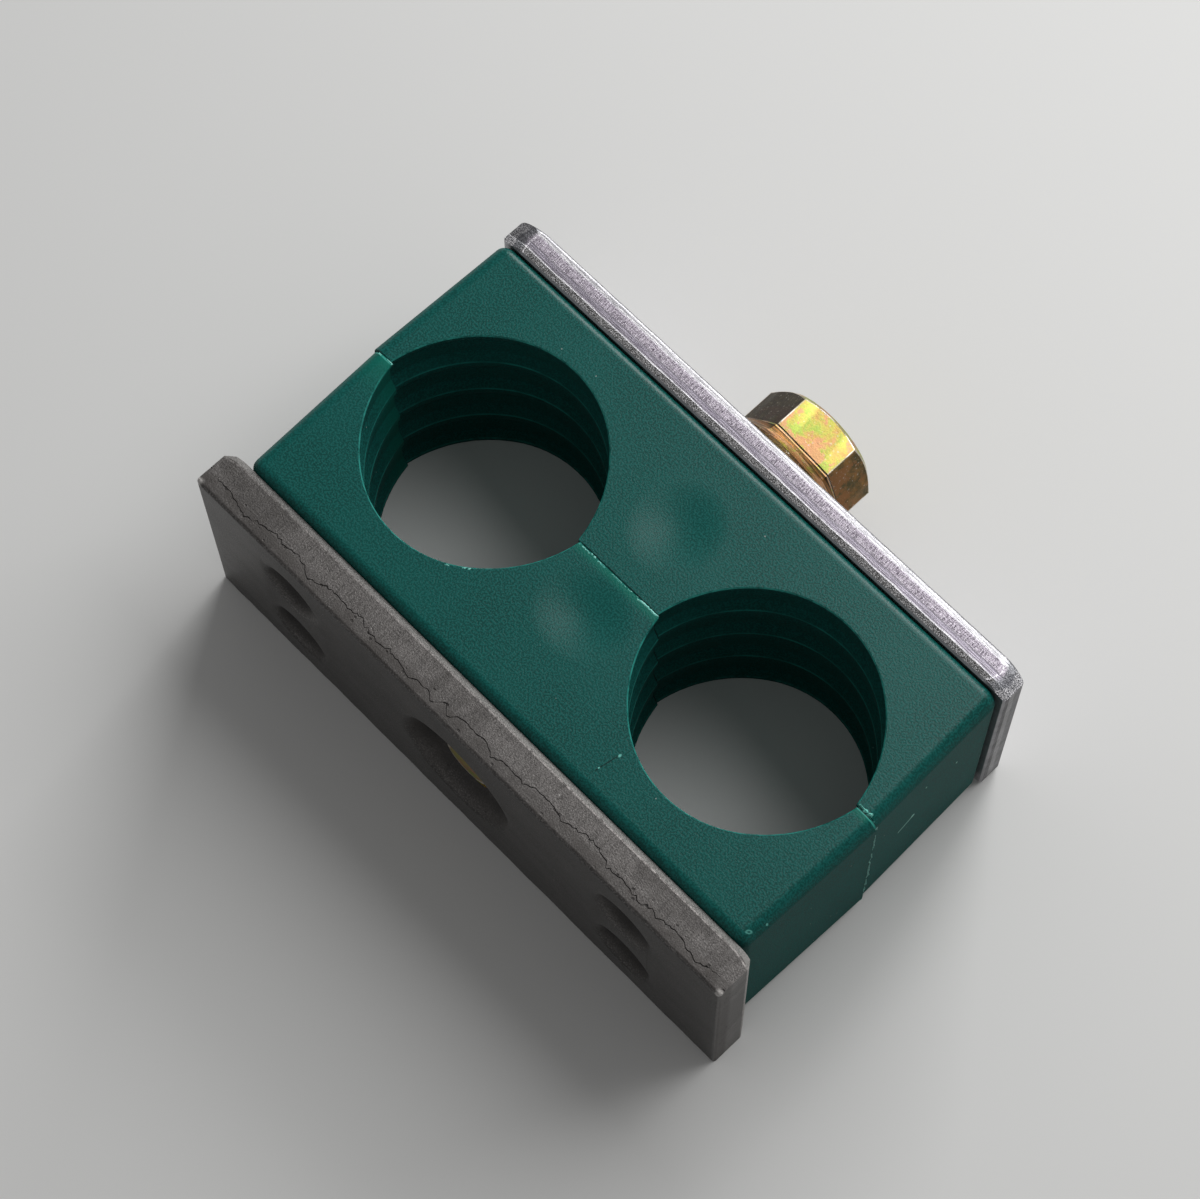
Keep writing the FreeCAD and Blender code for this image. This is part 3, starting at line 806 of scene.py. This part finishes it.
def sliced(shape, start, end, gap):
    """Cuts a shape across X into slices, so that its long edges have points to move."""
    cuts = int((end - start) / gap)
    for number in range(1, cuts):
        bmesh.ops.bisect_plane(
            shape, geom=[*shape.verts, *shape.edges, *shape.faces], dist=0.00001,
            plane_co=(start + (end - start) * number / cuts, 0, 0), plane_no=(1, 0, 0))


def closeness(distance, reach):
    """1 at an edge, falling to 0 at reach."""
    return max(0.0, 1 - distance / reach)


def ripple(spot, finer):
    """A wave with a smaller and finer one on it."""
    return noise.noise(spot) + 0.6 * noise.noise(spot * finer)


def top_face(shape, level):
    return [face for face in shape.faces
            if face.normal.z > 0.999 and abs(face.calc_center_median().z - level) < 0.01]


# The fracture line along the weld plate's sheared edge: distance along the plate, and height above
# the outer face
crack_course = (
    (-42.6, 1.95), (-41.0, 2.05), (-39.4, 1.90), (-37.5, 1.45), (-36.0, 1.05), (-34.5, 1.55),
    (-31.6, 2.10), (-30.3, 1.85), (-28.0, 2.20), (-26.5, 1.90), (-25.0, 1.00), (-23.2, 1.75),
    (-22.0, 2.15), (-19.5, 1.85), (-17.0, 2.20), (-16.0, 1.75), (-13.0, 1.45), (-12.0, 1.80),
    (-10.0, 1.55), (-8.0, 1.10), (-7.0, 1.50), (-5.5, 1.65), (-4.2, 0.90), (-2.6, 2.05), (-1.6, 0.85),
    (-0.2, 1.95), (1.0, 2.05), (2.2, 1.75), (3.5, 2.25), (5.5, 1.25), (7.0, 1.75), (10.3, 1.65),
    (11.3, 2.05), (14.0, 2.35), (16.5, 1.75), (18.0, 2.05), (20.0, 2.55), (21.5, 2.45), (23.0, 2.05),
    (24.0, 1.55), (27.0, 1.65), (29.5, 1.25), (31.0, 1.75), (32.0, 1.35), (33.3, 1.75), (35.7, 1.80),
    (36.7, 1.45), (38.7, 0.90), (40.3, 1.65), (42.5, 1.55))
crack_width = 0.15
crack_depth = 0.12


def make_weld_plate(materials):
    """The CAD plate with wavering sheared edges and the fracture line cut along its top edge."""
    shape = node_copy("weld_plate")
    sliced(shape, weld_low.x, weld_high.x, 1.6)
    for corner in shape.verts:
        if boss_top > corner.co.y > weld_inner + 0.05:
            continue
        near_side = closeness(min(corner.co.z, width - corner.co.z), 0.9)
        outer = closeness(corner.co.y - weld_outer, 0.9)
        inner = closeness(weld_inner - corner.co.y, 1.2)
        waver = ripple(Vector((corner.co.x * 0.42, corner.co.z * 0.2, corner.co.y * 0.15)), 3.1)
        corner.co.y += waver * 0.10 * outer * near_side - waver * 0.05 * inner * near_side
    faces = top_face(shape, width)
    bmesh.ops.delete(shape, geom=faces, context="FACES")
    rim = [edge for edge in shape.edges if len(edge.link_faces) == 1]

    jagged = []
    for (start, start_height), (end, end_height) in zip(crack_course, crack_course[1:]):
        parts = max(2, round((end - start) / 0.42))
        for number in range(parts):
            share = number / parts
            along = start + (end - start) * share
            shake = noise.noise(Vector((along * 1.9, 3.0, 0)))
            shake += 0.7 * noise.noise(Vector((along * 5.3, 0, 0)))
            jagged.append((along, start_height + (end_height - start_height) * share + 0.38 * shake))

    def bank(side, level):
        course = []
        for number, (along, height) in enumerate(jagged):
            taper = min(1.0, min(number, len(jagged) - 1 - number) / 5 + 0.02)
            jitter = 0.9 + 1.5 * noise.noise(Vector((along * 1.3, side * 3.0, 0)))
            half = crack_width / 2 * taper * max(0.25, jitter)
            course.append(shape.verts.new((along, weld_outer + height + side * half, level)))
        return course

    low_bank, floor, high_bank = bank(-1, width), bank(0, width - crack_depth), bank(1, width)
    mouth = []
    for line in (low_bank, high_bank):
        mouth += [shape.edges.new(pair) for pair in zip(line, line[1:])]
    mouth += [shape.edges.new((low_bank[end], high_bank[end])) for end in (0, -1)]
    bmesh.ops.triangle_fill(shape, edges=rim + mouth, use_beauty=True, normal=(0, 0, 1))
    for near, far in ((low_bank, floor), (floor, high_bank)):
        for number in range(len(near) - 1):
            wall = shape.faces.new((near[number], near[number + 1], far[number + 1], far[number]))
            wall.material_index = 1
    for end in (0, -1):
        wall = shape.faces.new((low_bank[end], floor[end], high_bank[end]))
        wall.material_index = 1
    bmesh.ops.recalc_face_normals(shape, faces=shape.faces)
    return finished(shape, "weld_plate_dressed", "base", materials, "weld_plate")


def make_cover_plate(material):
    """The CAD plate with the small waves and burrs of its sheared edges."""
    shape = node_copy("cover_plate")
    sliced(shape, cover_low.x, cover_high.x, 1.4)
    for corner in shape.verts:
        if radius_of(corner) < 7 and width - 2 > corner.co.z > 2:
            continue
        near_side = closeness(min(corner.co.z, width - corner.co.z), 0.9)
        near_end = closeness(cover_high.x - abs(corner.co.x), 1.6)
        outer = closeness(cover_outer - corner.co.y, 1.0)
        waver = ripple(Vector((corner.co.x * 0.5, corner.co.z * 0.3, corner.co.y * 0.3)), 3.3)
        corner.co.y += waver * 0.07 * outer * near_side - 0.10 * abs(waver) * near_end * outer
    return finished(shape, "cover_plate_dressed", "upper", [material], "cover_plate")


def ragged_strip(shape, start, end, thickness, height, parts, seed):
    """A torn sliver of moulding flash that stands on a line from start to end."""
    start, end = Vector(start), Vector(end)
    along = (end - start).normalized()
    side = along.cross(Vector((0, 0, 1))) if abs(along.z) < 0.9 else Vector((0, 1, 0))
    out = side.cross(along)
    section = [start - side * thickness / 2, start + out * 0.001, start + side * thickness / 2]
    corners = [shape.verts.new(corner) for corner in section]
    edges = [shape.edges.new((corners[0], corners[1])), shape.edges.new((corners[1], corners[2]))]
    crests = [corners[1]]
    rows = [corners]
    for number in range(parts):
        made = bmesh.ops.extrude_edge_only(shape, edges=edges)["geom"]
        fresh = [part for part in made if isinstance(part, bmesh.types.BMVert)]
        step = (end - start) / parts
        bmesh.ops.translate(shape, verts=fresh, vec=step)
        edges = [part for part in made if isinstance(part, bmesh.types.BMEdge)
                 and part.verts[0] in fresh and part.verts[1] in fresh]
        fresh.sort(key=lambda corner: corner.co.dot(side))
        crests.append(fresh[1])
        rows.append(fresh)
    for number, (row, crest) in enumerate(zip(rows, crests)):
        share = number / parts
        spot = Vector((share * parts * 0.35, seed * 7.3, 0))
        ragged = 0.5 + noise.noise(spot) + 0.5 * noise.noise(spot * 2.7)
        taper = min(1.0, 6 * share, 6 * (1 - share))
        rise = max(0.0, ragged) * taper
        crest.co += out * height * rise
        drift = side * thickness * 0.5 * noise.noise(spot * 1.3 + Vector((0, 5, 0)))
        for corner in row:
            corner.co += drift * taper - out * 0.03
    bottoms = [(row[0], row[2]) for row in rows]
    for first, second in zip(bottoms, bottoms[1:]):
        shape.faces.new((first[0], second[0], second[1], first[1]))
    for row in (rows[0], rows[-1]):
        shape.faces.new(row)


def make_flash(name, body, material, strips):
    """Strips of torn plastic: start, end, thickness, height and number of parts of each."""
    shape = bmesh.new()
    for seed, strip in enumerate(strips, 1):
        ragged_strip(shape, *strip, seed)
    bmesh.ops.recalc_face_normals(shape, faces=shape.faces)
    return finished(shape, name, body, [material], sharp=50.0)


# The scene


def add_camera():
    camera = bpy.data.objects.new("camera", bpy.data.cameras.new("camera"))
    bpy.context.scene.collection.objects.link(camera)
    camera.data.lens = lens_mm
    camera.data.clip_start = 0.01
    turn = (Matrix.Rotation(math.radians(view_azimuth), 4, "Z")
            @ Matrix.Rotation(math.radians(90 - view_elevation), 4, "X")
            @ Matrix.Rotation(math.radians(view_roll), 4, "Z"))
    place = (camera_offset + Vector((0, parting, 0))) * MM
    camera.matrix_world = Matrix.Translation(place) @ turn
    bpy.context.scene.camera = camera


def add_softbox(name, place, size, watts):
    lamp = bpy.data.objects.new(name, bpy.data.lights.new(name, "AREA"))
    bpy.context.scene.collection.objects.link(lamp)
    lamp.data.shape = "RECTANGLE"
    lamp.data.size = lamp.data.size_y = size
    lamp.data.energy = watts
    lamp.location = place
    lamp.rotation_euler = (-Vector(place)).to_track_quat("-Z", "Y").to_euler()


def add_floor():
    shape = bmesh.new()
    bmesh.ops.create_grid(shape, x_segments=1, y_segments=1, size=floor_size / 2)
    mesh = bpy.data.meshes.new("floor")
    shape.to_mesh(mesh)
    floor = bpy.data.objects.new("floor", mesh)
    bpy.context.scene.collection.objects.link(floor)
    mesh.materials.append(pale_floor())


def set_world():
    world = bpy.data.worlds.new("studio")
    bpy.context.scene.world = world
    world.use_nodes = True
    world.node_tree.nodes["Background"].inputs["Color"].default_value = (1, 1, 1, 1)
    world.node_tree.nodes["Background"].inputs["Strength"].default_value = world_level


bpy.context.scene.view_settings.view_transform = "Standard"
add_camera()
add_floor()
set_world()
add_softbox("main_softbox", main_place, main_size, main_watts)
add_softbox("side_softbox", side_place, side_size, side_watts)

green = green_plastic()
steel = bare_steel()
zinc = bright_zinc()
gold_tints = [
    yellow_zinc("yellow_zinc", (0.44, 0.28, 0.095), (0.42, 0.37, 0.090), (0.31, 0.38, 0.080),
                (0.51, 0.25, 0.140)),
    yellow_zinc("yellow_zinc_worn", (0.30, 0.25, 0.14), (0.32, 0.28, 0.16), (0.30, 0.27, 0.16),
                (0.32, 0.25, 0.16), worn=1.0),
    yellow_zinc("yellow_zinc_bronze", (0.26, 0.130, 0.036), (0.15, 0.090, 0.030), (0.075, 0.060, 0.022),
                (0.24, 0.105, 0.035)),
    yellow_zinc("yellow_zinc_olive", (0.048, 0.028, 0.011), (0.030, 0.020, 0.009), (0.050, 0.036, 0.012),
                (0.05, 0.024, 0.011)),
    yellow_zinc("yellow_zinc_tan", (0.36, 0.26, 0.12), (0.25, 0.19, 0.085), (0.17, 0.14, 0.055),
                (0.32, 0.20, 0.10))]

for half in ("lower_clamp_half", "upper_clamp_half"):
    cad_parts[half].data.materials.clear()
    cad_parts[half].data.materials.append(green)

make_weld_plate([steel, crack_steel()])
make_cover_plate(zinc)
make_bolt(gold_tints)
make_boss_thread(steel)

seam = parting
right_end = lower_high.x
make_flash("lower_half_flash", "base", torn_plastic(), [
    ((-6.0, seam - 0.22, width), (-2.2, seam - 0.18, width), 0.26, 0.14, 30),
    ((-1.4, seam - 0.20, width), (2.6, seam - 0.16, width), 0.18, 0.10, 30),
    ((3.0, seam - 0.20, width), (6.6, seam - 0.16, width), 0.32, 0.20, 28),
    ((-40.5, seam - 0.20, width - 0.10), (-38.2, seam - 0.14, width), 0.22, 0.16, 10),
    ((right_end - 0.06, seam - 0.14, 1.0), (right_end - 0.06, seam - 0.12, width - 0.9), 0.34, 0.26, 60),
    ((-13.6, seam - 12.10, width), (-12.7, seam - 11.40, width), 0.26, 0.24, 8),
    ((-15.3, seam - 13.20, width), (-14.8, seam - 12.90, width), 0.24, 0.22, 6)])
make_flash("upper_half_burr", "upper", torn_plastic(), [
    ((38.45, seam + 0.22, width), (39.9, seam + 0.18, width), 0.24, 0.26, 8),
    ((39.3, seam + 0.22, width), (40.5, seam + 0.28, width - 0.30), 0.62, 0.52, 6),
    ((40.2, seam + 0.16, width - 0.20), (41.1, seam + 0.20, width - 0.95), 0.40, 0.34, 5)])
